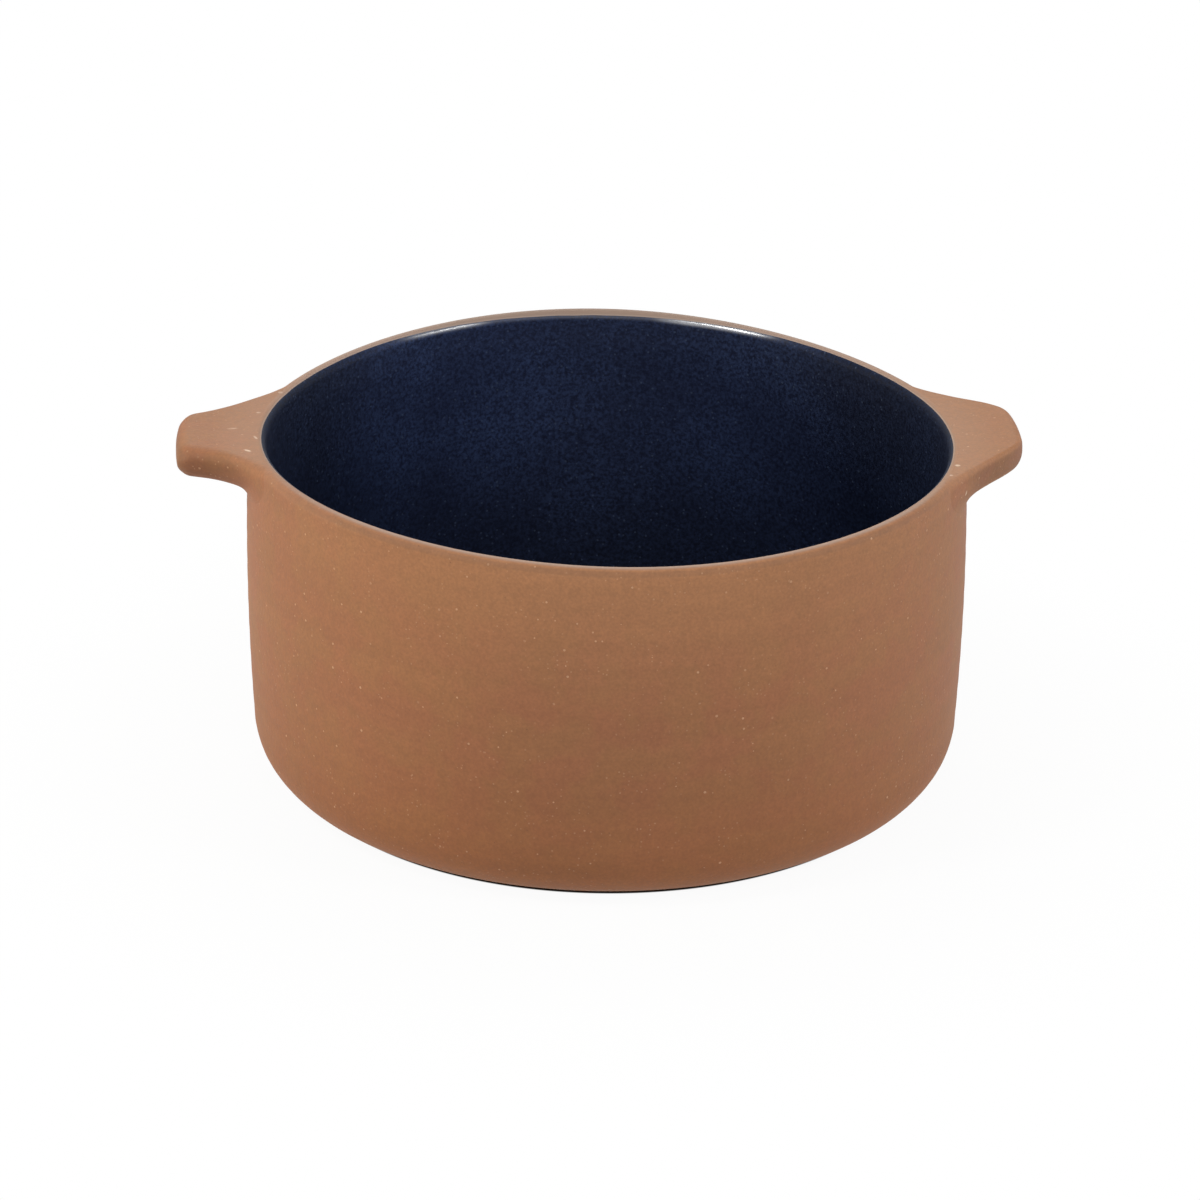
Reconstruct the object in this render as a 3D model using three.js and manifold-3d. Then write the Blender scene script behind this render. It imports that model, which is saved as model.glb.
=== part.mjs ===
// Round stoneware casserole dish with two lug handles and a glazed inside.
// Millimetres, +Z up. The origin is the centre of the flat base, the handles lie along X.
import * as THREE from 'three';
import { mergeVertices } from 'three/addons/utils/BufferGeometryUtils.js';
import Module from 'manifold-3d';

const wasm = await Module();
wasm.setup();

// Dish body
const rimDiameter = 240; // across the outside of the rim
const dishHeight = 120; // rim crest above the table
const bellySwell = 1.3; // how far the wall bows out half way up
const wallThickness = 6; // the rim is a full round of this wall
const floorThickness = 7;
const heelRound = 20; // outside corner between wall and base
const innerHeelRound = 15; // inside corner between wall and floor

// Lug handles, level with the rim
const lugReach = 22.5; // from the outside of the rim to the tip
const lugTipWidth = 46; // across the tip, over its rounded corners
const lugTipRound = 7; // corner of the tip, seen from above
const lugSideAngle = 36; // degrees that each side opens towards the wall
const lugSideFillet = 22; // sweep of each side into the wall, seen from above
const lugThickness = 8.5;
const lugEdgeRound = 3; // long edges, top and bottom

// Coil of clay worked into the corner under each lug
const coilRound = 9; // hollow round, and the reach along lug and wall
const coilLip = 0.6; // thickness left where the coil runs out

// Glaze lining
const glazeThickness = 0.6;
const glazeLineAngle = 50; // degrees down the inside of the rim from its crest

// Clearance between neighbouring pieces
const seatGap = 0.3;

// Smoothness of round shapes
const aroundSteps = 72;
const wallSteps = 5;
const heelSteps = 6;
const rimSteps = 8;
const lipSteps = 3;
const lugSteps = 6;
const coilSteps = 6;

const rimRadius = rimDiameter / 2;
const rimRound = wallThickness / 2;
const rimCentre = new THREE.Vector2(rimRadius - rimRound, dishHeight - rimRound);
const wallMiddle = (rimCentre.y + heelRound) / 2;
const wallHalf = (rimCentre.y - heelRound) / 2;
const edgeRound = Math.min(lugEdgeRound, lugThickness * 0.45);

// Radius of the wall's outside at a height, moved outwards by an offset.
function wallRadius(height, offset) {
  const away = (height - wallMiddle) / wallHalf;
  return rimRadius + offset + bellySwell * (1 - away * away);
}

// Lean of the wall at a height, as an angle from upright.
function wallLean(height) {
  const away = (height - wallMiddle) / wallHalf;
  return Math.atan((-2 * bellySwell * away) / wallHalf);
}

function arcPoints(centre, radius, fromAngle, toAngle, steps) {
  const points = [];
  for (let i = 0; i <= steps; i += 1) {
    const angle = fromAngle + ((toAngle - fromAngle) * i) / steps;
    const x = centre.x + radius * Math.cos(angle);
    const y = centre.y + radius * Math.sin(angle);
    points.push(new THREE.Vector2(x, y));
  }
  return points;
}

// One skin of the pot, from the axis along the floor and up the wall to the rim's middle height.
function potSkin(offset, floorHeight, round) {
  const lean = wallLean(floorHeight + round);
  const touch = floorHeight + round * (1 - Math.sin(lean));
  const inset = wallRadius(touch, offset) - round * Math.cos(lean);
  const centre = new THREE.Vector2(inset, floorHeight + round);
  const heel = arcPoints(centre, round, -Math.PI / 2, -lean, heelSteps);
  const wall = [];
  for (let i = 1; i < wallSteps; i += 1) {
    const height = touch + ((rimCentre.y - touch) * i) / wallSteps;
    wall.push(new THREE.Vector2(wallRadius(height, offset), height));
  }
  return [new THREE.Vector2(0, floorHeight), ...heel, ...wall];
}

// Solid of revolution about the upright axis.
function turned(profile) {
  const geometry = new THREE.LatheGeometry(profile, aroundSteps);
  geometry.rotateX(Math.PI / 2);
  return geometry;
}

function solidOf(geometry) {
  const bare = geometry.clone();
  bare.deleteAttribute('normal');
  bare.deleteAttribute('uv');
  const merged = mergeVertices(bare, 1e-4);
  const corners = merged.index.array;
  const kept = [];
  for (let i = 0; i < corners.length; i += 3) {
    const [a, b, c] = [corners[i], corners[i + 1], corners[i + 2]];
    // Triangles that close up on the axis are left out.
    if (a !== b && b !== c && c !== a) {
      kept.push(a, b, c);
    }
  }
  const vertProperties = new Float32Array(merged.attributes.position.array);
  const triVerts = new Uint32Array(kept);
  return new wasm.Manifold(new wasm.Mesh({ numProp: 3, vertProperties, triVerts }));
}

function geometryOf(solid) {
  const mesh = solid.getMesh();
  const geometry = new THREE.BufferGeometry();
  geometry.setAttribute('position', new THREE.BufferAttribute(mesh.vertProperties, 3));
  geometry.setIndex(new THREE.BufferAttribute(mesh.triVerts, 1));
  return geometry;
}

// Clay pot: flat base, rounded heel, bowed wall, full round rim, and the hollow inside.
const outerSkin = potSkin(0, 0, heelRound);
const innerSkin = potSkin(-wallThickness, floorThickness, innerHeelRound);
const rimArc = arcPoints(rimCentre, rimRound, 0, Math.PI, rimSteps);
const bodyGeometry = turned([...outerSkin, ...rimArc, ...innerSkin.reverse()]);

// The whole pot with its hollow filled, one clearance larger: what a lug is cut to.
const seatSkin = potSkin(seatGap, -seatGap, heelRound + seatGap);
const seatRim = arcPoints(rimCentre, rimRound + seatGap, 0, Math.PI / 2, rimSteps / 2);
const seatTop = new THREE.Vector2(0, dishHeight + seatGap);
const seatSolid = solidOf(turned([...seatSkin, ...seatRim, seatTop]));

// Glaze: a thin shell one clearance inside the clay, ending in a round lip on the rim.
const liningOut = wallThickness + seatGap;
const liningIn = liningOut + glazeThickness;
const glazeEnd = Math.PI / 2 + THREE.MathUtils.degToRad(glazeLineAngle);
const lipRadius = rimRound + seatGap + glazeThickness / 2;
const lipCentre = new THREE.Vector2(
  rimCentre.x + lipRadius * Math.cos(glazeEnd),
  rimCentre.y + lipRadius * Math.sin(glazeEnd),
);
const liningUnder = potSkin(-liningOut, floorThickness + seatGap, innerHeelRound - seatGap);
const liningOver = potSkin(
  -liningIn,
  floorThickness + seatGap + glazeThickness,
  innerHeelRound - seatGap - glazeThickness,
);
const lipUp = arcPoints(rimCentre, rimRound + seatGap, Math.PI, glazeEnd, lipSteps);
const lipDown = arcPoints(
  rimCentre,
  rimRound + seatGap + glazeThickness,
  glazeEnd,
  Math.PI,
  lipSteps,
);
const lipTip = arcPoints(
  lipCentre,
  glazeThickness / 2,
  glazeEnd - Math.PI,
  glazeEnd - Math.PI * 2,
  4,
).slice(1, -1);
const glazeGeometry = turned([
  ...liningUnder,
  ...lipUp,
  ...lipTip,
  ...lipDown,
  ...liningOver.reverse(),
]);

// Plan of the right lug. Each side runs straight from the tip's rounded corner,
// then sweeps along a hollow arc that just touches the rim's circle.
const sideFacing = Math.PI / 2 - THREE.MathUtils.degToRad(lugSideAngle);
const cornerX = rimRadius + lugReach - lugTipRound;
const cornerY = lugTipWidth / 2 - lugTipRound;
const sideOff = cornerX * Math.cos(sideFacing) + cornerY * Math.sin(sideFacing) + lugTipRound;
const sweepFar = rimRadius + lugSideFillet;
const sweepTurn = sideFacing - Math.acos((sideOff + lugSideFillet) / sweepFar);
const sweepX = sweepFar * Math.cos(sweepTurn);
const sweepY = sweepFar * Math.sin(sweepTurn);

// Outline of the right lug seen from above, drawn in by an inset.
// Past the sweep it dives into the wall, where the lug is cut off.
function lugOutline(inset) {
  const tipRound = lugTipRound - inset;
  const sweepRound = lugSideFillet + inset;
  const endX = (sweepFar - sweepRound) * Math.cos(sweepTurn);
  const endY = (sweepFar - sweepRound) * Math.sin(sweepTurn);
  const dive = sweepTurn + Math.PI / 2 + Math.PI / 6;
  const rootX = endX + wallThickness * 3 * Math.cos(dive);
  const rootY = endY + wallThickness * 3 * Math.sin(dive);
  const shape = new THREE.Shape();
  shape.moveTo(rootX, -rootY);
  shape.lineTo(endX, -endY);
  shape.absarc(sweepX, -sweepY, sweepRound, Math.PI - sweepTurn, Math.PI - sideFacing, true);
  shape.absarc(cornerX, -cornerY, tipRound, -sideFacing, 0, false);
  shape.absarc(cornerX, cornerY, tipRound, 0, sideFacing, false);
  shape.absarc(sweepX, sweepY, sweepRound, Math.PI + sideFacing, Math.PI + sweepTurn, true);
  shape.lineTo(rootX, rootY);
  return shape;
}

const lugBlank = new THREE.ExtrudeGeometry(lugOutline(0), {
  depth: lugThickness - edgeRound * 2,
  bevelEnabled: true,
  bevelThickness: edgeRound,
  bevelSize: edgeRound,
  bevelOffset: -edgeRound,
  bevelSegments: 3,
  curveSegments: lugSteps,
});
lugBlank.translate(0, 0, dishHeight - lugThickness + edgeRound);
const lugGeometry = geometryOf(solidOf(lugBlank).subtract(seatSolid));

// Coil under the lug: a hollow-rounded ring, kept only beneath the lug's flat underside
// and cut to an oval that runs out towards both ends.
const coilTop = dishHeight - lugThickness - seatGap;
const coilFoot = coilTop - coilRound;
const coilInner = wallRadius(coilTop, seatGap);
const coilOuter = coilInner + coilRound + coilLip;
const coilCentre = new THREE.Vector2(coilOuter, coilFoot - coilLip);
const coilHollow = arcPoints(coilCentre, coilRound, Math.PI, Math.PI / 2, coilSteps).slice(1);
const coilProfile = [
  new THREE.Vector2(wallRadius(coilFoot, seatGap), coilFoot),
  ...coilHollow,
  new THREE.Vector2(coilOuter, coilTop),
  new THREE.Vector2(coilInner, coilTop),
];
coilProfile.push(coilProfile[0].clone());
const coilPlan = new THREE.ExtrudeGeometry(lugOutline(edgeRound), {
  depth: coilRound * 2,
  bevelEnabled: false,
  curveSegments: lugSteps,
});
coilPlan.translate(0, 0, coilTop - coilRound * 1.5);

// Half length of the coil: where the drawn-in outline crosses the wall.
const coilSweep = lugSideFillet + edgeRound;
const coilCross = (coilInner ** 2 + sweepFar ** 2 - coilSweep ** 2) / (2 * coilInner * sweepFar);
const coilHalf = coilInner * Math.sin(sweepTurn - Math.acos(coilCross));
const coilOval = new THREE.Shape();
coilOval.absellipse(0, 0, coilHalf, coilRound + coilLip, 0, Math.PI * 2, false, 0);
const coilRunout = new THREE.ExtrudeGeometry(coilOval, {
  depth: rimRadius * 2,
  bevelEnabled: false,
  curveSegments: lugSteps * 3,
});
coilRunout.rotateX(Math.PI / 2);
coilRunout.rotateZ(Math.PI / 2);
coilRunout.translate(0, 0, coilTop);
const coilRing = solidOf(turned(coilProfile)).intersect(solidOf(coilPlan));
const coilGeometry = geometryOf(coilRing.intersect(solidOf(coilRunout)));

const clay = { color: 0xa5744f, roughness: 0.9, metalness: 0 };
const glaze = { color: 0x171d2e, roughness: 0.35, metalness: 0 };

function piece(name, geometry, look, turn) {
  const placed = geometry.clone().rotateZ(turn);
  const mesh = new THREE.Mesh(placed, new THREE.MeshStandardMaterial(look));
  mesh.name = name;
  return mesh;
}

const dish = new THREE.Group();
dish.name = 'casserole_dish';
dish.add(piece('dish_body', bodyGeometry, clay, 0));
dish.add(piece('left_handle', lugGeometry, clay, Math.PI));
dish.add(piece('right_handle', lugGeometry, clay, 0));
dish.add(piece('left_handle_fillet', coilGeometry, clay, Math.PI));
dish.add(piece('right_handle_fillet', coilGeometry, clay, 0));
dish.add(piece('glaze_lining', glazeGeometry, glaze, 0));

export default dish;
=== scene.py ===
import math

import bmesh
import bpy
from mathutils import Matrix, Vector, noise


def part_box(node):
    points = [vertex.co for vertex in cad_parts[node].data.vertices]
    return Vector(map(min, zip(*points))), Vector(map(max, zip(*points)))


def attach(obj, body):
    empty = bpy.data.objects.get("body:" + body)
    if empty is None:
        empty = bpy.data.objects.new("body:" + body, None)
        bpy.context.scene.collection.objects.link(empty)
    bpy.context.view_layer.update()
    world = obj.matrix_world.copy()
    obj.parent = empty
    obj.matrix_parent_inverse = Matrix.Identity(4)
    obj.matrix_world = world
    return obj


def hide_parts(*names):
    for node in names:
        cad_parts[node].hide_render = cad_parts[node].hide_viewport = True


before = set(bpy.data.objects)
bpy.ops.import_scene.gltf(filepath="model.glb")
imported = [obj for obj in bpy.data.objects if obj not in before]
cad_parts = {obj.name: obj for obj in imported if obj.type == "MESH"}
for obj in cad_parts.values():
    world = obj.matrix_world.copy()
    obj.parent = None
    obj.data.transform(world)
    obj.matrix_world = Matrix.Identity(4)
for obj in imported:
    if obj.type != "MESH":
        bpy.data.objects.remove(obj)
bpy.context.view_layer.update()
bodyLow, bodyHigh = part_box("dish_body")

scene = bpy.context.scene
scene.view_settings.view_transform = "Standard"

# sizes shared by the pot, its handles and its glaze, in metres
pot = dict(
    rimRadius=0.120,
    height=bodyHigh[2],
    wall=0.006,
    floor=0.007,
    swell=0.0013,      # how far the wall bows out half way up
    heel=0.020,        # outside corner at the base
    innerHeel=0.015,
    turns=240,         # faces round the pot
)
rimRound = pot["wall"] / 2                     # the rim is a full round
rimCore = pot["rimRadius"] - rimRound          # radius of its crest
rimLevel = pot["height"] - rimRound

# the potter's hand: a rim that waves a little, and walls that aren't quite true
hand = dict(
    rimDrop=-0.00078,
    rimLift=[(-0.00153, -0.00165), (-0.00040, 0.00009), (0.00014, -0.00109)],
    rimSpread=0.00024,
    rimOval=[(0.0, 0.0), (0.00026, -0.00017), (-0.00017, -0.00067)],
    wander=0.00018,            # slow unevenness of the wall
    wanderRound=1.7,           # how fast it changes round the pot, and up it
    wanderUp=14,
    ridge=0.00004,             # faint throwing ridges
    ridgeStep=0.0085,
    ridgeSway=3,
    trueFloor=0.09,            # radius within which the floor grows ever flatter
)


def clamp(value, low=0.0, high=1.0):
    return max(low, min(high, value))


def wavesAt(turn, waves):
    # one, two and three waves round the rim, each as its cosine and sine
    return sum(c * math.cos(k * turn) + s * math.sin(k * turn)
               for k, (c, s) in enumerate(waves, 1))


def handMade(co):
    # the same small shifts for every piece, so that neighbours stay together
    radius = math.hypot(co.x, co.y)
    turn = math.atan2(co.y, co.x)
    level = clamp(co.z / pot["height"])
    outer = clamp(radius / hand["trueFloor"])
    spot = Vector((math.cos(turn) * hand["wanderRound"], math.sin(turn) * hand["wanderRound"],
                   co.z * hand["wanderUp"]))
    drift = noise.noise(spot) * hand["wander"]
    sway = noise.noise(spot * 1.3) * hand["ridgeSway"]
    ripple = math.sin(co.z / hand["ridgeStep"] * math.tau + sway)
    drift = (drift + ripple * hand["ridge"]) * clamp(level * 6) * outer ** 4
    spread = (hand["rimSpread"] + wavesAt(turn, hand["rimOval"])) * level ** 2 * outer
    grow = 1 + (drift + spread) / max(radius, 0.001)
    lift = (hand["rimDrop"] + wavesAt(turn, hand["rimLift"])) * level * outer
    return Vector((co.x * grow, co.y * grow, co.z + lift))


def wallRadius(height):
    middle = (rimLevel + pot["heel"]) / 2
    half = (rimLevel - pot["heel"]) / 2
    away = clamp((height - middle) / half, -1, 1)
    return pot["rimRadius"] + pot["swell"] * (1 - away * away)


def skinRadius(height):
    # outside of the pot, from the wall up over the rim to its crest
    if height <= rimLevel:
        return wallRadius(height)
    rise = min(height - rimLevel, rimRound)
    return rimCore + math.sqrt(rimRound ** 2 - rise ** 2)


# the glaze stops on the inside of the rim; angles are measured inwards from its crest
glazeEnd = dict(
    sides=26,
    back=27,           # further down at the very back
    front=14,          # and behind the crest at the front
    wobble=2.5,
    slow=3,            # how fast the wobble changes round the rim
    fine=17,
    fineShare=0.6,
)


def glazeLine(turn):
    away, across = math.sin(turn), math.cos(turn)
    line = glazeEnd["sides"]
    line += glazeEnd["back"] * away ** 10 if away > 0 else glazeEnd["front"] * away ** 2
    slow = Vector((across * glazeEnd["slow"], away * glazeEnd["slow"], 0.4))
    fine = Vector((across * glazeEnd["fine"], away * glazeEnd["fine"], 2.1))
    line += (noise.noise(slow) + noise.noise(fine) * glazeEnd["fineShare"]) * glazeEnd["wobble"]
    return math.radians(line)



def colour(r, g, b):
    def one(v):
        v /= 255
        return v / 12.92 if v <= 0.04045 else ((v + 0.055) / 1.055) ** 2.4
    return (one(r), one(g), one(b), 1.0)


class nodeBench:
    # short words for laying out one material's nodes
    def __init__(self, name):
        self.material = bpy.data.materials.new(name)
        self.material.use_nodes = True
        self.tree = self.material.node_tree
        self.shader = self.tree.nodes["Principled BSDF"]
        self.place = self.add("ShaderNodeTexCoord").outputs["Object"]

    def add(self, kind, **values):
        node = self.tree.nodes.new(kind)
        for key, value in values.items():
            setattr(node, key, value)
        return node

    def put(self, socket, value):
        if isinstance(value, bpy.types.NodeSocket):
            self.tree.links.new(value, socket)
        else:
            socket.default_value = value

    def set(self, **values):
        for key, value in values.items():
            self.put(self.shader.inputs[key], value)

    def moved(self, kind, at=(0, 0, 0), turn=(0, 0, 0), scale=(1, 1, 1)):
        node = self.add("ShaderNodeMapping", vector_type=kind)
        self.put(node.inputs["Vector"], self.place)
        self.put(node.inputs["Location"], at)
        self.put(node.inputs["Rotation"], turn)
        self.put(node.inputs["Scale"], scale)
        return node.outputs["Vector"]

    def cloud(self, scale, detail=3.0, rough=0.55, at=None):
        node = self.add("ShaderNodeTexNoise")
        self.put(node.inputs["Vector"], at or self.place)
        self.put(node.inputs["Scale"], scale)
        self.put(node.inputs["Detail"], detail)
        self.put(node.inputs["Roughness"], rough)
        return node.outputs["Fac"]

    def grains(self, scale, at=None):
        # distance to the nearest grain, and three chance values for that grain
        node = self.add("ShaderNodeTexVoronoi")
        self.put(node.inputs["Vector"], at or self.place)
        self.put(node.inputs["Scale"], scale)
        parts = self.add("ShaderNodeSeparateColor")
        self.put(parts.inputs[0], node.outputs["Color"])
        return node.outputs["Distance"], parts.outputs

    def sum(self, operation, a, b=0.5):
        node = self.add("ShaderNodeMath", operation=operation)
        self.put(node.inputs[0], a)
        self.put(node.inputs[1], b)
        return node.outputs[0]

    def times(self, *values):
        product = values[0]
        for value in values[1:]:
            product = self.sum("MULTIPLY", product, value)
        return product

    def ramp(self, value, low, high, toLow=0.0, toHigh=1.0):
        node = self.add("ShaderNodeMapRange", interpolation_type="SMOOTHSTEP")
        for key, number in zip(("Value", "From Min", "From Max", "To Min", "To Max"),
                               (value, low, high, toLow, toHigh)):
            self.put(node.inputs[key], number)
        return node.outputs["Result"]

    def mix(self, amount, a, b, blend="MIX"):
        node = self.add("ShaderNodeMix", data_type="RGBA", blend_type=blend)
        self.put(node.inputs[0], amount)
        self.put(node.inputs[6], a)
        self.put(node.inputs[7], b)
        return node.outputs[2]

    def shade(self, base, amount):
        # darkens or lightens a colour by a plain factor
        grey = self.add("ShaderNodeCombineColor")
        for socket in grey.inputs:
            self.put(socket, amount)
        return self.mix(1.0, base, grey.outputs[0], "MULTIPLY")

    def attribute(self, name):
        return self.add("ShaderNodeAttribute", attribute_name=name).outputs["Fac"]

    def bump(self, height, distance, strength=1.0, over=None):
        node = self.add("ShaderNodeBump")
        self.put(node.inputs["Strength"], strength)
        self.put(node.inputs["Distance"], distance)
        self.put(node.inputs["Height"], height)
        if over:
            self.put(node.inputs["Normal"], over)
        return node.outputs["Normal"]


# bare clay: matte brown, softly blotched, with throwing bands, grog specks and pin holes, and some painted
# light and shade
clayLook = dict(
    body=colour(160, 106, 70),
    red=colour(163, 104, 72),
    straw=colour(160, 110, 71),
    foot=colour(160, 100, 58),       # a little warmer towards the foot
    upper=colour(174, 121, 82),      # painted light, paler on the upper front wall and on the tops
    soak=colour(140, 114, 96),       # stained by the glaze beside it
    film=colour(158, 138, 125),      # a grey trace of glaze, left on the back of the rim
    wipedSheen=colour(178, 158, 146),     # sponged grog on the crest, with a painted highlight there; also the pale edge by the glaze
    speck=colour(214, 170, 134),
    pit=colour(92, 60, 42),
    scuff=colour(240, 212, 186),
    roughness=0.66,
    roughnessVary=0.05,
    specular=0.5,
    hueScale=60,                     # red and straw blotches
    patchScale=14,                   # broad light and dark patches, then finer ones
    cloudScale=260,
    grainScale=1000,
    bandScale=(6, 6, 210),           # throwing bands, flat round the pot
    patchShade=(0.965, 1.03),        # darkest and lightest of each
    cloudShade=(0.965, 1.035),
    bandShade=(0.97, 1.03),
    grainShade=(0.90, 1.10),
    footTop=0.07,                    # height over which the foot's tint and shade die out
    footTint=0.7,
    footShade=0.92,
    heel=(0.002, 0.020),             # heights between which the painted bounce light on the heel dies out
    heelBounceLight=1.34,
    paintedShadeFactor=0.78,                   # painted shade under the crest and on the sides of the handles
    dust=dict(scale=700, size=0.22, rare=0.7, drifts=75, strength=(0.05, 0.34)),
    grog=dict(scale=330, size=(0.07, 0.15), rare=0.5, strength=(0.14, 0.75)),
    pits=dict(scale=300, size=0.06, rare=0.6, strength=0.45),
    breakScale=1900,                 # breaks up the rubbed marks
    stainReach=(0.2, 1.3),           # millimetres from the glaze
    stainShare=0.45,
    filmShare=0.85,
    wipedSheenShare=0.6,
    edgeReach=0.35,
    edgeShare=0.5,
)
# short rubbed marks on the handles
# each has its place, its length, breadth and depth in metres, its turn in degrees and its strength
scuffs = [
    ((-0.1208, -0.0133, 0.1208), (0.0042, 0.0016, 0.004), -45, 1.0),
    ((-0.1180, -0.0006, 0.1202), (0.0044, 0.0012, 0.004), -72, 0.7),
    ((-0.1256, 0.0087, 0.1199), (0.0048, 0.0018, 0.004), 8, 0.4),
    ((-0.1167, 0.0242, 0.1192), (0.0020, 0.0020, 0.004), 0, 0.4),
    ((-0.1089, 0.0438, 0.1186), (0.0022, 0.0026, 0.004), 30, 0.5),
    ((0.1138, -0.0340, 0.1187), (0.0024, 0.0024, 0.004), 30, 1.0),
    ((0.1105, -0.0432, 0.1190), (0.0016, 0.0018, 0.004), 20, 0.7),
    ((0.1160, -0.0415, 0.1117), (0.0016, 0.0016, 0.0026), 0, 0.7),
    ((0.1136, -0.0432, 0.1117), (0.0030, 0.0016, 0.0014), 0, 0.35),
]


def makeClay():
    n = nodeBench("bareClay")
    look = clayLook
    split = n.add("ShaderNodeSeparateXYZ")
    n.put(split.inputs[0], n.place)
    height = split.outputs["Z"]
    hue = n.ramp(n.cloud(look["hueScale"], 3), 0.40, 0.60)
    bands = n.cloud(1.0, 2, 0.5, n.moved("POINT", scale=look["bandScale"]))
    grain = n.cloud(look["grainScale"], 3)
    tint = n.mix(hue, look["red"], look["straw"])
    tint = n.mix(0.5, look["body"], tint)
    tint = n.mix(n.ramp(height, 0.0, look["footTop"], look["footTint"], 0.0), tint, look["foot"])
    # painted light: paler upper front wall, rim top and handle tops
    tint = n.mix(n.attribute("paintedUpperLight"), tint, look["upper"])
    # random tone, with painted bounce light at the heel and painted shade under the crest and on the
    # handles' sides
    toneAndPaintedLight = n.times(n.ramp(height, 0.0, look["footTop"], look["footShade"], 1.0),
                    n.ramp(height, *look["heel"], look["heelBounceLight"], 1.0),
                    n.ramp(n.cloud(look["cloudScale"], 3), 0.3, 0.7, *look["cloudShade"]),
                    n.ramp(n.attribute("paintedShade"), 0.0, 1.0, 1.0, look["paintedShadeFactor"]),
                    n.ramp(n.cloud(look["patchScale"], 3), 0.3, 0.7, *look["patchShade"]),
                    n.ramp(bands, 0.3, 0.7, *look["bandShade"]),
                    n.ramp(grain, 0.25, 0.75, *look["grainShade"]))
    tint = n.shade(tint, toneAndPaintedLight)

    form = look["dust"]                            # fine and pale, in drifts
    near, chance = n.grains(form["scale"], n.moved("POINT", at=(0.7, 0.2, 0.4)))
    dust = n.times(n.sum("LESS_THAN", near, form["size"]), n.sum("GREATER_THAN", chance[0], form["rare"]),
                   n.ramp(n.cloud(form["drifts"], 2), 0.42, 0.66, *form["strength"]))
    tint = n.mix(dust, tint, look["speck"])
    form = look["grog"]                            # a few tenths of a millimetre across
    near, chance = n.grains(form["scale"])
    size = n.ramp(chance[1], 0.0, 1.0, *form["size"])
    grog = n.times(n.sum("LESS_THAN", near, size), n.sum("GREATER_THAN", chance[0], form["rare"]),
                   n.ramp(chance[2], 0.2, 1.0, *form["strength"]))
    tint = n.mix(grog, tint, look["speck"])
    form = look["pits"]
    near, chance = n.grains(form["scale"], n.moved("POINT", at=(0.3, 0.1, 0.2)))
    pits = n.times(n.sum("LESS_THAN", near, form["size"]), n.sum("GREATER_THAN", chance[0], form["rare"]))
    tint = n.mix(n.times(pits, form["strength"]), tint, look["pit"])

    breaks = n.ramp(n.cloud(look["breakScale"], 2), 0.38, 0.55)
    for at, size, turn, strength in scuffs:
        stroke = n.add("ShaderNodeVectorMath", operation="LENGTH")
        n.put(stroke.inputs[0], n.moved("TEXTURE", at, (0, 0, math.radians(turn)), [v / 2 for v in size]))
        rubbed = n.ramp(stroke.outputs["Value"], 0.4, 1.0, strength, 0.0)
        tint = n.mix(n.times(rubbed, n.ramp(breaks, 0, 1, 0.6, 1.0)), tint, look["scuff"])

    edge = n.attribute("glazeEdge")                # millimetres of bare clay from the glaze
    crest = n.attribute("wipedAndSheenCrest")
    stain = n.times(n.ramp(edge, *look["stainReach"], look["stainShare"], 0.0),
                    n.sum("SUBTRACT", 1.0, crest))
    tint = n.mix(stain, tint, look["soak"])
    tint = n.mix(n.times(n.attribute("glazeFilm"), look["filmShare"]), tint, look["film"])
    # sponged paleness and a painted highlight on the crest and rim top
    tint = n.mix(n.times(crest, look["wipedSheenShare"]), tint, look["wipedSheen"])
    tint = n.mix(n.ramp(edge, 0.0, look["edgeReach"], look["edgeShare"], 0.0), tint, look["wipedSheen"])
    rough, vary = look["roughness"], look["roughnessVary"]
    n.set(**{"Base Color": tint, "Specular IOR Level": look["specular"],
             "Roughness": n.ramp(grain, 0.2, 0.8, rough - vary, rough + vary)})
    feel = n.bump(n.cloud(620, 4, 0.6), 0.0005, 0.3)
    feel = n.bump(bands, 0.0008, 0.2, feel)
    feel = n.bump(n.sum("SUBTRACT", grog, pits), 0.0002, 0.6, feel)
    n.set(Normal=feel)
    return n.material


# navy glaze: satin, finely mottled, pale where it thins out on the rim
glazeLook = dict(
    deep=colour(16, 21, 41),
    blue=colour(43, 57, 90),
    mote=colour(76, 90, 116),
    thin=colour(50, 60, 84),
    bare=colour(140, 136, 134),
    specular=0.30,
    roughness=0.46,
    lip=0.30,                    # roughness of two glassier runs on the back of the rim
    lipIndex=2.6,
    mottleScale=900,
    driftScale=30,
    drift=(0.35, 0.8),           # least and most mottling
    deepAt=(0.015, 0.09),        # heights between which it grows paler
    deepShade=(0.66, 1.24),
    wallPaintedShade=(0.58, 1.38),      # painted shade round the wall, darker at the sides
    motes=dict(scale=520, size=0.2, rare=0.75, strength=0.4),
    thinReach=(0.2, 2.2),        # millimetres from its edge
    thinShare=0.25,
    bareReach=(0.05, 0.35),
    bareShare=0.45,
    rightSide=(0.05, 0.112),     # the pale edge tints and shine fade towards the right
    rightShare=0.4,
    rightShine=0.7,
    dryReach=(1.0, 6.0),         # the lip is rougher and duller beside the glassy runs
    dryRough=0.16,
    dryShine=0.5,
)


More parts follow.
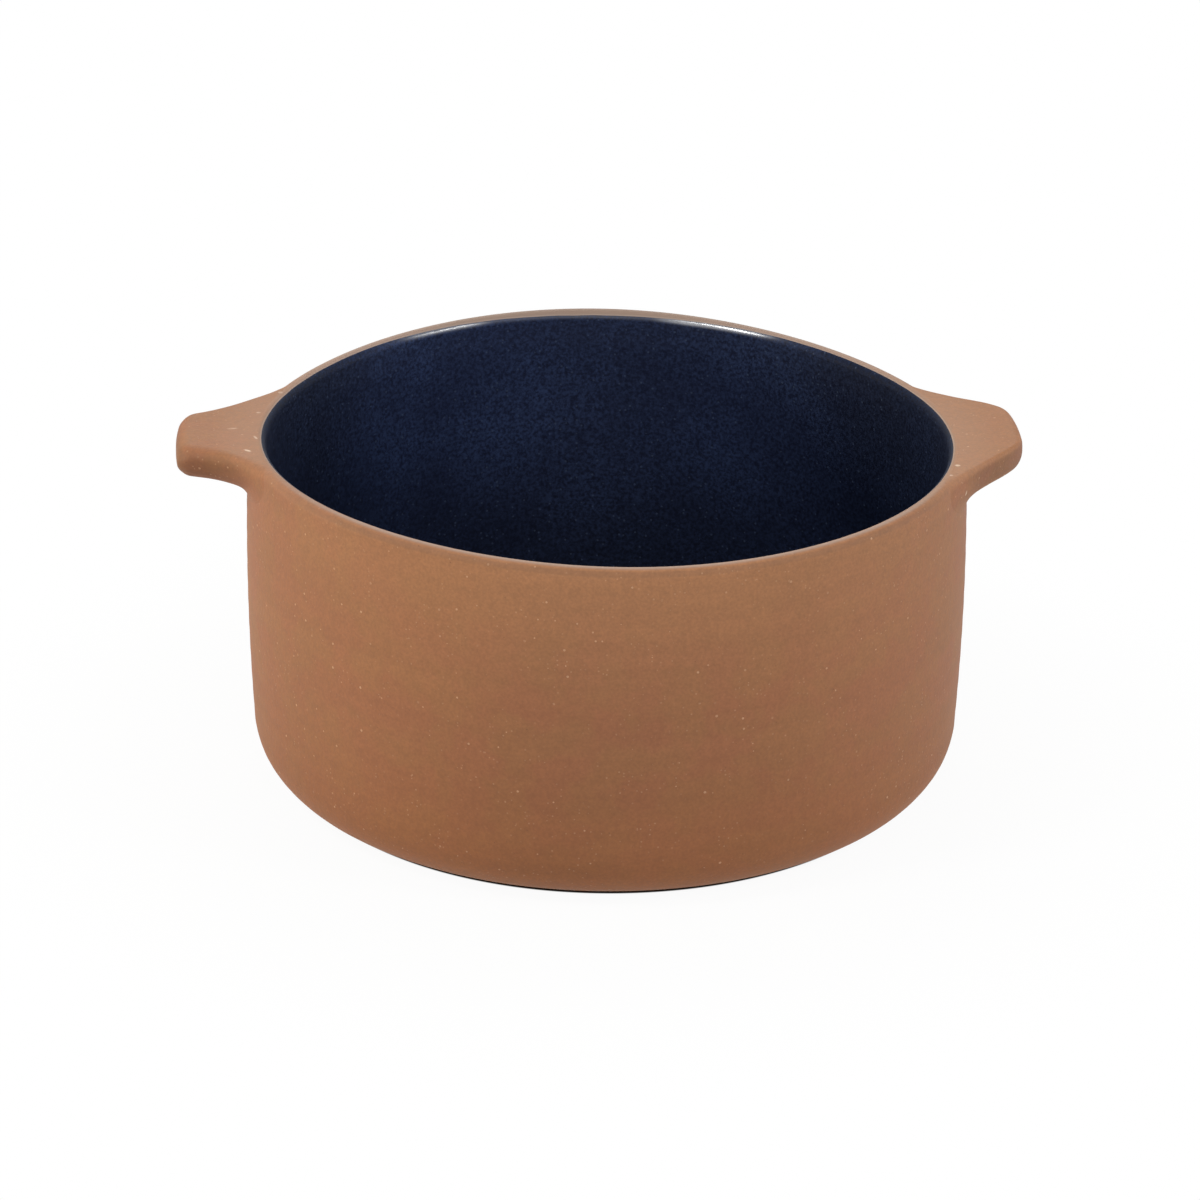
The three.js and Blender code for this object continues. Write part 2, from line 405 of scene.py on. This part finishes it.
def makeGlaze():
    n = nodeBench("navyGlaze")
    look = glazeLook
    mottle = n.ramp(n.cloud(look["mottleScale"], 5, 0.7), 0.36, 0.66)
    drift = n.ramp(n.cloud(look["driftScale"], 4), 0.3, 0.7, *look["drift"])
    tint = n.mix(n.times(mottle, drift), look["deep"], look["blue"])
    split = n.add("ShaderNodeSeparateXYZ")
    n.put(split.inputs[0], n.place)
    # darker towards the floor, and painted shade darker at the sides of the wall
    tint = n.shade(tint, n.times(n.ramp(split.outputs["Z"], *look["deepAt"], *look["deepShade"]),
                                 n.ramp(n.attribute("paintedWallShade"), 0.0, 1.0, *look["wallPaintedShade"])))
    form = look["motes"]
    near, chance = n.grains(form["scale"])
    motes = n.times(n.sum("LESS_THAN", near, form["size"]), n.sum("GREATER_THAN", chance[0], form["rare"]))
    tint = n.mix(n.times(motes, form["strength"]), tint, look["mote"])
    edge = n.attribute("glazeEdge")                # millimetres of glaze from its edge
    rightFade = n.ramp(split.outputs["X"], *look["rightSide"], 1.0, look["rightShare"])
    thin = n.times(n.ramp(edge, *look["thinReach"], look["thinShare"], 0.0), rightFade)
    tint = n.mix(thin, tint, look["thin"])
    bare = n.times(n.ramp(edge, *look["bareReach"], look["bareShare"], 0.0), rightFade)
    tint = n.mix(bare, tint, look["bare"])
    glassy = n.attribute("glassy")
    dry = n.times(n.ramp(edge, *look["dryReach"], 1.0, 0.0), n.ramp(glassy, 0.0, 0.7, 1.0, 0.0))
    rough = n.sum("ADD", n.ramp(glassy, 0.0, 1.0, look["roughness"], look["lip"]),
                  n.times(dry, look["dryRough"]))
    shine = n.times(n.ramp(glassy, 0.0, 1.0, look["specular"], 1.0),
                    n.ramp(dry, 0.0, 1.0, 1.0, look["dryShine"]),
                    n.ramp(rightFade, look["rightShare"], 1.0, look["rightShine"], 1.0))
    n.set(IOR=n.ramp(glassy, 0.0, 1.0, 1.5, look["lipIndex"]))
    n.set(**{"Base Color": tint, "Specular IOR Level": shine,
             "Roughness": n.sum("ADD", rough, n.ramp(mottle, 0.0, 1.0, -0.04, 0.06))})
    n.set(Normal=n.bump(n.cloud(420, 3), 0.0003, 0.22))
    return n.material


clayMaterial = makeClay()
glazeMaterial = makeGlaze()
print("materials laid out")


def finishMesh(bm, name, material, nodes):
    bmesh.ops.recalc_face_normals(bm, faces=bm.faces[:])
    mesh = bpy.data.meshes.new(name)
    bm.to_mesh(mesh)
    bm.free()
    mesh.polygons.foreach_set("use_smooth", [True] * len(mesh.polygons))
    mesh.materials.append(material)
    piece = bpy.data.objects.new(name, mesh)
    scene.collection.objects.link(piece)
    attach(piece, "root")
    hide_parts(*nodes)
    print(name, len(mesh.polygons), "faces")


def wireFrom(bm, points):
    verts = [bm.verts.new((x, 0, z)) for x, z in points]
    for a, b in zip(verts, verts[1:]):
        bm.edges.new((a, b))
    return verts


def roundCorner(bm, corner, radius, steps):
    bmesh.ops.bevel(bm, geom=[corner], offset=radius, segments=steps, profile=0.5,
                    affect="VERTICES", material=-1, clamp_overlap=False)


def splitLong(bm, longest):
    # cuts each long stretch of the profile into even steps
    for edge in bm.edges[:]:
        cuts = int(edge.calc_length() / longest)
        if cuts:
            bmesh.ops.subdivide_edges(bm, edges=[edge], cuts=cuts)


def turnProfile(bm):
    bmesh.ops.spin(bm, geom=bm.verts[:] + bm.edges[:], cent=(0, 0, 0), axis=(0, 0, 1),
                   angle=math.tau, steps=pot["turns"], use_merge=True)
    bmesh.ops.remove_doubles(bm, verts=bm.verts[:], dist=1e-7)


def bellyOut(co):
    # bows the straight wall out, inside and outside alike
    radius = math.hypot(co.x, co.y)
    if radius > 0.1 and pot["heel"] < co.z < rimLevel:
        grow = 1 + (wallRadius(co.z) - pot["rimRadius"]) / radius
        co.x *= grow
        co.y *= grow


# lug handles: each was pulled by hand, so the two differ, and so do their front and back edges
# shoulder: how much further an edge's rounding runs across the top than down the side
lugs = dict(
    leftHandle=dict(
        side=-1, reach=0.0240, thickness=0.0116, edge=0.0046, slant=1.7, paintedUpperLight=0.25,
        front=dict(half=0.0224, slope=0.43, sweep=0.0150, tip=0.0042, undercut=0.0048, shoulder=1.8),
        back=dict(half=0.0365, slope=0.43, sweep=0.0192, tip=0.0062, undercut=0.0030, shoulder=1.1),
        nodes=["left_handle", "left_handle_fillet"],
    ),
    rightHandle=dict(
        side=1, reach=0.0198, thickness=0.0109, edge=0.0030, slant=2.2, paintedUpperLight=0.6,
        front=dict(half=0.0350, slope=0.94, sweep=0.0199, tip=0.0089, undercut=0.0046, shoulder=1.2),
        back=dict(half=0.0412, slope=0.83, sweep=0.0077, tip=0.0077, undercut=0.0026, shoulder=1.2),
        nodes=["right_handle", "right_handle_fillet"],
    ),
)


# wear, wiping and painted light and shade on the body; angles are in radians inwards from the rim's crest
bodyWearAndLight = dict(
    paintedLightFrom=0.070,     # painted light: the front of the wall grows paler from here up
    paintedLightOver=0.045,
    crestAt=0.05,
    crestWide=0.36,
    shadeAt=-0.97,
    shadeWide=0.32,
    lugPaintedLight=0.3,           # painted light on the rim beside the handles
    lugWipedSheen=0.2,
    flank=1.2,             # paler on the rim's upward face beside the back
)


def makeBody():
    bm = bmesh.new()
    wearAndLight = bodyWearAndLight
    outer, inner = pot["rimRadius"], pot["rimRadius"] - pot["wall"]
    corners = wireFrom(bm, [(0, 0), (outer, 0), (outer, pot["height"]),
                            (inner, pot["height"]), (inner, pot["floor"]), (0, pot["floor"])])
    roundCorner(bm, corners[1], pot["heel"], 16)
    roundCorner(bm, corners[2], rimRound * 0.9999, 12)
    roundCorner(bm, corners[3], rimRound * 0.9999, 12)
    roundCorner(bm, corners[4], pot["innerHeel"], 10)
    splitLong(bm, 0.003)
    turnProfile(bm)
    edge = bm.verts.layers.float.new("glazeEdge")
    film = bm.verts.layers.float.new("glazeFilm")
    crest = bm.verts.layers.float.new("wipedAndSheenCrest")
    shadeLayer = bm.verts.layers.float.new("paintedShade")
    paintedUpperLight = bm.verts.layers.float.new("paintedUpperLight")
    for v in bm.verts:
        turn = math.atan2(v.co.y, v.co.x)
        away = math.sin(turn)
        fromCrest = math.atan2(rimCore - math.hypot(v.co.x, v.co.y), v.co.z - rimLevel)
        v[edge] = 9.0
        # painted light on the upper front of the wall
        rise = (v.co.z - wearAndLight["paintedLightFrom"]) / wearAndLight["paintedLightOver"]
        v[paintedUpperLight] = clamp(rise) * clamp(-1.6 * away - 0.5)
        if v.co.z > rimLevel - rimRound:
            v[edge] = (glazeLine(turn) - fromCrest) * rimRound * 1000
            v[film] = clamp(away) ** 2 * clamp(2 + fromCrest)
            onCrest = clamp(1.5 - abs(fromCrest - wearAndLight["crestAt"]) / wearAndLight["crestWide"])
            v[crest] = onCrest * clamp(-2.2 * away - 0.5)
            # painted shade just under the crest at the front
            inPaintedShade = clamp(1.5 - abs(fromCrest - wearAndLight["shadeAt"]) / wearAndLight["shadeWide"])
            v[shadeLayer] = inPaintedShade * clamp(-2.2 * away - 0.6)
        if v.co.z > rimLevel:
            # painted light on the rim's upward face, as pale as the handles where it runs past them
            across = math.cos(turn)
            beside = lugs["rightHandle" if across > 0 else "leftHandle"]["paintedUpperLight"]
            upward = clamp((v.co.z - rimLevel) / rimRound * 1.4)
            pale = abs(across) * beside + wearAndLight["lugPaintedLight"] * across ** 4
            v[paintedUpperLight] = max(v[paintedUpperLight], pale * upward)
            flank = clamp(wearAndLight["flank"] * away) * (1 - clamp(away) ** 6)
            v[crest] = max(v[crest], max(wearAndLight["lugWipedSheen"] * across ** 4, flank) * upward)
        bellyOut(v.co)
        v.co = handMade(v.co)
    finishMesh(bm, "dishBody", clayMaterial, ["dish_body"])


makeBody()

# the glaze lies half a millimetre over the clay and feathers out on the rim
glazeForm = dict(
    thickness=0.0005,
    lip=0.00006,       # thinner over the rim
    sunk=0.00012,      # underside, hidden in the clay
    feather=0.0012,    # length over which the edge thins out
    runs=[(66, 10.5, 1.0), (116, 9.5, 0.72)],    # glassiest stretches: degrees round, spread and strength
    between=0.35,      # how glassy the back is between them
    runFade=2.2,       # millimetres over which they fade down the wall
    even=0.655,        # the floor's share of the wall's shading
    evenTop=0.02,      # the floor's share dies out from this height
    evenOver=0.04,
    shadeSides=0.45,   # painted shade: the wall is darker at the sides than at the front and back
    shadeSidesOver=0.42,
    paleAt=122,        # and palest left of the back
    paleSpread=22,
)


def lipRuns(turn):
    share = glazeForm["between"] * clamp(8 * math.sin(turn) - 5.6)
    for at, spread, most in glazeForm["runs"]:
        share = max(share, clamp(1.5 - abs(math.degrees(turn) - at) / spread) * most)
    return share


def makeGlazeLining():
    bm = bmesh.new()
    edge = bm.verts.layers.float.new("glazeEdge")
    glassy = bm.verts.layers.float.new("glassy")
    paintedWallShade = bm.verts.layers.float.new("paintedWallShade")
    away = bm.verts.layers.float_vector.new("awayFromClay")
    inner = pot["rimRadius"] - pot["wall"]
    corners = wireFrom(bm, [(0, pot["floor"]), (inner, pot["floor"]), (inner, pot["height"]),
                            (rimCore, pot["height"])])
    roundCorner(bm, corners[1], pot["innerHeel"], 10)
    roundCorner(bm, corners[2], rimRound * 0.9999, 24)
    splitLong(bm, 0.003)
    turnProfile(bm)
    heelRadius = inner - pot["innerHeel"]
    heelLevel = pot["floor"] + pot["innerHeel"]
    for v in bm.verts:
        radius = math.hypot(v.co.x, v.co.y)
        turn = math.atan2(v.co.y, v.co.x)
        outward = Vector((math.cos(turn), math.sin(turn), 0))
        end = glazeLine(turn)
        if v.co.z > rimLevel:
            # the rim's quarter round is drawn in so that it stops at the glaze line
            fromCrest = math.atan2(rimCore - radius, v.co.z - rimLevel)
            fromCrest = end + fromCrest * (1 - end / (math.pi / 2))
            v[edge] = (fromCrest - end) * rimRound * 1000
            v[away] = outward * -math.sin(fromCrest) + Vector((0, 0, math.cos(fromCrest)))
            v.co = outward * rimCore + Vector((0, 0, rimLevel)) + v[away] * rimRound
        elif v.co.z > heelLevel:
            v[edge] = (math.pi / 2 - end) * rimRound * 1000 + (rimLevel - v.co.z) * 1000
            v[away] = -outward
        else:
            v[edge] = 99.0
            out = max(0.0, radius - heelRadius)
            v[away] = (outward * -out + Vector((0, 0, max(1e-6, heelLevel - v.co.z)))).normalized()
        v[glassy] = lipRuns(turn) * clamp(1.36 - v[edge] / glazeForm["runFade"])
        # painted shade round the wall, even over the floor
        even = glazeForm["even"]
        wall = clamp((abs(math.sin(turn)) - glazeForm["shadeSides"]) / glazeForm["shadeSidesOver"])
        palest = clamp(1.4 - abs(math.degrees(turn) - glazeForm["paleAt"]) / glazeForm["paleSpread"])
        wall *= even + (1 - even) * palest
        rise = clamp((v.co.z - glazeForm["evenTop"]) / glazeForm["evenOver"])
        v[paintedWallShade] = even + rise * (wall - even)
        bellyOut(v.co)
    top = bmesh.ops.extrude_face_region(bm, geom=bm.faces[:])["geom"]
    raised = {v for v in top if isinstance(v, bmesh.types.BMVert)}
    for v in bm.verts:
        if v in raised:
            reach = clamp(v[edge] / 1000 / glazeForm["feather"])
            deep = clamp((v[edge] - 3) / 9)
            full = glazeForm["lip"] + (glazeForm["thickness"] - glazeForm["lip"]) * deep + glazeForm["sunk"]
            v.co += v[away] * (full * math.sqrt(1 - (1 - reach) ** 2) - glazeForm["sunk"])
        else:
            v.co -= v[away] * (glazeForm["sunk"] * 1.6)
        v.co = handMade(v.co)
    finishMesh(bm, "glazeLining", glazeMaterial, ["glaze_lining"])


makeGlazeLining()

lugForm = dict(
    under=0.0074,       # hollow round where the underside meets the wall
    rootBlend=0.0060,   # over which the lug takes up the wall's curve
    rootSide=0.022,     # the under corners open out into the wall
    rootFoot=0.010,
    sink=0.00022,       # the very root lies under the wall's skin
    sinkReach=0.0006,
    topSink=0.1,        # share of that on the rim's crest
    keepFrom=0.7,       # share of the width within which the undercut dies out
    paintedLightReach=0.012,    # the root's top carries the rim's painted light and sheen
    pale=0.3,
    wipedSheen=0.2,
    faceFrom=0.008,     # the painted shade on the sides starts from here out
    around=96,
)


def hollow(distance, radius):
    # quarter round that leaves a wall and dies out at its radius
    if distance >= radius:
        return 0.0
    return radius - math.sqrt(radius ** 2 - (radius - max(0.0, distance)) ** 2)


def endRound(distance, end, radius):
    # what a rounded end takes off at this distance
    past = clamp(distance - (end - radius), 0.0, radius)
    return radius - math.sqrt(radius ** 2 - past ** 2)


def lugPoint(lug, share, out):
    # share runs once round the lug's section, from the middle of its top over the back edge
    sign, edgeForm = (1, lug["back"]) if share < 0.5 else (-1, lug["front"])
    part, t = divmod((share if share < 0.5 else 1 - share) * 8, 1)
    edge, reach = lug["edge"], lug["reach"]
    trim = endRound(out, reach, edge)
    top = pot["height"] - trim
    bottom = pot["height"] - lug["thickness"] - hollow(out, lugForm["under"]) + trim
    half = edgeForm["half"] - edgeForm["slope"] * max(0.0, out) + hollow(out, edgeForm["sweep"])
    half -= endRound(out, reach, edgeForm["tip"])
    root = clamp(1 - out / lugForm["under"]) ** 2
    corner = min(edge, (top - bottom) * 0.49)
    side = corner + lugForm["rootSide"] * root
    foot = min(corner + lugForm["rootFoot"] * root, top - bottom - corner)
    across = corner * edgeForm["shoulder"]
    turn = t * math.pi / 2
    if part == 0:
        y, z = (half - across) * t, top
    elif part == 1:
        y, z = half - across * (1 - math.sin(turn)), top - corner * (1 - math.cos(turn))
    elif part == 2:
        y, z = half - side + side * math.cos(turn), bottom + foot - foot * math.sin(turn)
    else:
        y, z = (half - side) * (1 - t), bottom
    lean = clamp((top - z) / lug["thickness"]) * (1 - root)
    lean *= clamp(y / (half * lugForm["keepFrom"]))      # none along the middle of the underside
    y -= edgeForm["undercut"] * lean
    y *= sign
    if out < 0:
        # the buried end, in the middle of the wall
        radius, y, z = rimCore, y * 0.97, min(z, rimLevel)
    else:
        blend = clamp(1 - out / lugForm["rootBlend"]) ** 2
        radius = pot["rimRadius"] + out * (1 + lug["slant"] * y)
        radius += (skinRadius(z) - pot["rimRadius"]) * blend
        sink = lugForm["sink"] * clamp(1 - out / lugForm["sinkReach"])
        upward = clamp((z - rimLevel) / rimRound)        # the rim's skin faces up towards its crest
        radius -= sink * math.sqrt(1 - upward ** 2)
        z -= sink * upward * lugForm["topSink"]
    turn = math.asin(clamp(y / radius, -1, 1))
    return Vector((lug["side"] * radius * math.cos(turn), radius * math.sin(turn), z))


def makeLug(name):
    lug = lugs[name]
    edge, under, reach = lug["edge"], lugForm["under"], lug["reach"]
    steps = [under * (i / 18) ** 2 for i in range(18)]
    steps += [under + (reach - edge - under) * i / 10 for i in range(10)]
    steps += [reach - edge + edge * math.sin(i / 12 * math.pi / 2) for i in range(13)]
    bm = bmesh.new()
    place = bm.verts.layers.float.new("place")
    glazeEdge = bm.verts.layers.float.new("glazeEdge")
    paintedUpperLight = bm.verts.layers.float.new("paintedUpperLight")
    crest = bm.verts.layers.float.new("wipedAndSheenCrest")
    shadeLayer = bm.verts.layers.float.new("paintedShade")
    ring = bmesh.ops.create_circle(bm, segments=lugForm["around"], radius=0.01)["verts"]
    for i, v in enumerate(ring):
        v[place] = (i + 0.5) / lugForm["around"]
        v[glazeEdge] = 9.0
        v.co = lugPoint(lug, v[place], -1.0)
    buried = bm.edges[:]
    rim = buried
    for out in steps:
        grown = bmesh.ops.extrude_edge_only(bm, edges=rim)["geom"]
        for v in grown:
            if isinstance(v, bmesh.types.BMVert):
                v.co = lugPoint(lug, v[place], out)
                deep = (pot["height"] - v.co.z) / lug["thickness"]
                atRoot = clamp(1 - out / lugForm["paintedLightReach"])
                v[crest] = lugForm["wipedSheen"] * atRoot * clamp(1 - 6 * deep)
                # painted light on the top, strongest at the root
                v[paintedUpperLight] = (lug["paintedUpperLight"] + lugForm["pale"] * atRoot) * clamp(1.1 - 4 * deep)
                # painted shade on the handles' sides
                onFace = clamp(7 * deep - 0.35) * clamp((1 - deep) / 0.3)
                v[shadeLayer] = onFace * clamp(out / lugForm["faceFrom"])
        rim = [e for e in grown if isinstance(e, bmesh.types.BMEdge)]
        if out == 0:
            for e in rim:
                e.smooth = False       # the buried end doesn't bend the shading of the root
    for loop in (buried, rim):
        # each end is closed from its upper half to its lower half, round the curve
        upper = [e for e in loop if all(abs(v[place] - 0.5) > 0.25 for v in e.verts)]
        lower = [e for e in loop if all(abs(v[place] - 0.5) < 0.25 for v in e.verts)]
        bmesh.ops.bridge_loops(bm, edges=upper + lower)
    for v in bm.verts:
        v.co = handMade(v.co)
    finishMesh(bm, name, clayMaterial, lug["nodes"])


for lugName in lugs:
    makeLug(lugName)

# white sweep, which the camera and reflections see as plain white
studio = dict(
    floorSize=8.0,
    bounce=0.45,        # how pale the floor is as a source of bounced light
    shadow=0.055,       # share of the floor's white that the dish can shade
    contact=(0.1060, 0.1068),   # radii between which the painted contact shadow under the heel fades to white
    shade=(0.11, 0.26),         # radii between which the soft shadow fades to white
    pale=(0.92, 0.92, 0.92, 1),
    paintedContactShadow=(0.06, 0.05, 0.04, 1),
    ambient=0.35,
    overhead=0.14,              # what reflections find straight up
    ceiling=(0.35, 0.8),        # heights between which they darken towards it
    distance=1.9,
    lamps=dict(          # degrees round from the front, degrees up, size in metres, watts and colour
        keyLeft=(-64, 54, 0.36, 9.0, (1, 1, 1)),
        keyRight=(60, 44, 0.36, 6.6, (1, 1, 1)),
        sideLeft=(-95, 5, 0.9, 19.5, (1, 0.88, 0.62)),
        sideRight=(92, 5, 0.9, 9.0, (1, 1, 0.98)),
        front=(0, 25, 0.9, 6.0, (1, 0.98, 0.94)),
        back=(180, 30, 0.9, 8.0, (1, 0.97, 0.88)),
    ),
)


def makeFloor():
    bm = bmesh.new()
    bmesh.ops.create_grid(bm, x_segments=1, y_segments=1, size=studio["floorSize"] / 2)
    mesh = bpy.data.meshes.new("floor")
    bm.to_mesh(mesh)
    bm.free()
    floor = bpy.data.objects.new("floor", mesh)
    scene.collection.objects.link(floor)
    n = nodeBench("whiteSweep")
    n.tree.nodes.remove(n.shader)
    path = n.add("ShaderNodeLightPath")
    seen = n.sum("MAXIMUM", path.outputs["Is Camera Ray"], path.outputs["Is Glossy Ray"])
    seen = n.sum("MAXIMUM", seen, path.outputs["Is Transmission Ray"])
    radius = n.add("ShaderNodeVectorMath", operation="LENGTH")
    n.put(radius.inputs[0], n.place)
    lit = n.add("ShaderNodeBsdfDiffuse")
    # painted contact shadow: a dark ring on the floor under the heel
    under = n.ramp(radius.outputs["Value"], *studio["contact"], 1.0, 0.0)
    n.put(lit.inputs["Color"], n.mix(under, studio["pale"], studio["paintedContactShadow"]))
    glow = n.add("ShaderNodeEmission")
    white = n.add("ShaderNodeMixShader")
    soft = n.ramp(radius.outputs["Value"], *studio["shade"], studio["shadow"], 0.0)
    n.put(white.inputs[0], n.sum("MAXIMUM", under, soft))
    n.put(white.inputs[1], glow.outputs[0])
    n.put(white.inputs[2], lit.outputs[0])
    dim = n.add("ShaderNodeBsdfDiffuse")
    n.put(dim.inputs["Color"], (studio["bounce"],) * 3 + (1,))
    pick = n.add("ShaderNodeMixShader")
    n.put(pick.inputs[0], seen)
    n.put(pick.inputs[1], dim.outputs[0])
    n.put(pick.inputs[2], white.outputs[0])
    n.put(n.tree.nodes["Material Output"].inputs["Surface"], pick.outputs[0])
    mesh.materials.append(n.material)


def makeWorld():
    world = bpy.data.worlds.new("studio")
    scene.world = world
    world.use_nodes = True
    tree = world.node_tree

    def sum(operation, a, b):
        node = tree.nodes.new("ShaderNodeMath")
        node.operation = operation
        for socket, value in zip(node.inputs, (a, b)):
            if isinstance(value, bpy.types.NodeSocket):
                tree.links.new(value, socket)
            else:
                socket.default_value = value
        return node.outputs[0]

    path = tree.nodes.new("ShaderNodeLightPath")
    place = tree.nodes.new("ShaderNodeTexCoord")
    split = tree.nodes.new("ShaderNodeSeparateXYZ")
    tree.links.new(place.outputs["Generated"], split.inputs[0])
    high = tree.nodes.new("ShaderNodeMapRange")        # reflections find a darker ceiling
    tree.links.new(split.outputs["Z"], high.inputs["Value"])
    for key, number in zip(("From Min", "From Max", "To Min", "To Max"),
                           (*studio["ceiling"], 1.0, studio["overhead"])):
        high.inputs[key].default_value = number
    glossy = sum("MULTIPLY", path.outputs["Is Glossy Ray"], high.outputs[0])
    level = sum("MAXIMUM", path.outputs["Is Camera Ray"], path.outputs["Is Transmission Ray"])
    level = sum("MAXIMUM", sum("MAXIMUM", level, glossy), studio["ambient"])
    back = tree.nodes["Background"]
    back.inputs["Color"].default_value = (1, 1, 1, 1)
    tree.links.new(level, back.inputs["Strength"])


def addLamp(name, azimuth, elevation, size, watts, tint):
    turn, rise = math.radians(azimuth), math.radians(elevation)
    toLamp = Vector((math.sin(turn) * math.cos(rise), -math.cos(turn) * math.cos(rise), math.sin(rise)))
    lamp = bpy.data.lights.new(name, "AREA")
    lamp.shape = "SQUARE"
    lamp.size = size
    lamp.energy = watts
    lamp.color = tint
    holder = bpy.data.objects.new(name, lamp)
    scene.collection.objects.link(holder)
    holder.location = toLamp * studio["distance"]
    holder.rotation_euler = toLamp.to_track_quat("Z", "Y").to_euler()


makeFloor()
makeWorld()
for lampName, lampPlace in studio["lamps"].items():
    addLamp(lampName, *lampPlace)
print("studio set")

# camera at the photograph's angle
shot = dict(
    azimuth=-4.4,
    elevation=23.86,
    distance=1.8,
    lens=158.5,
    roll=0.507,
    target=(0.0, 0.0, 0.055),
    offset=(-0.00203, 0.00249),   # target seen right of and below the middle
)


def addCamera():
    turn, rise = math.radians(shot["azimuth"]), math.radians(shot["elevation"])
    back = Vector((math.sin(turn) * math.cos(rise), -math.cos(turn) * math.cos(rise), math.sin(rise)))
    level = Vector((0, 0, 1)).cross(back).normalized()
    upright = back.cross(level)
    roll = math.radians(shot["roll"])
    right = level * math.cos(roll) + upright * math.sin(roll)
    up = upright * math.cos(roll) - level * math.sin(roll)
    middle = Vector(shot["target"]) + right * shot["offset"][0] + up * shot["offset"][1]
    lens = bpy.data.cameras.new("camera")
    lens.sensor_width = 36
    lens.lens = shot["lens"]
    lens.clip_start = 0.05
    camera = bpy.data.objects.new("camera", lens)
    scene.collection.objects.link(camera)
    turned = Matrix((right, up, back)).transposed().to_4x4()
    camera.matrix_world = Matrix.Translation(middle + back * shot["distance"]) @ turned
    scene.camera = camera


addCamera()
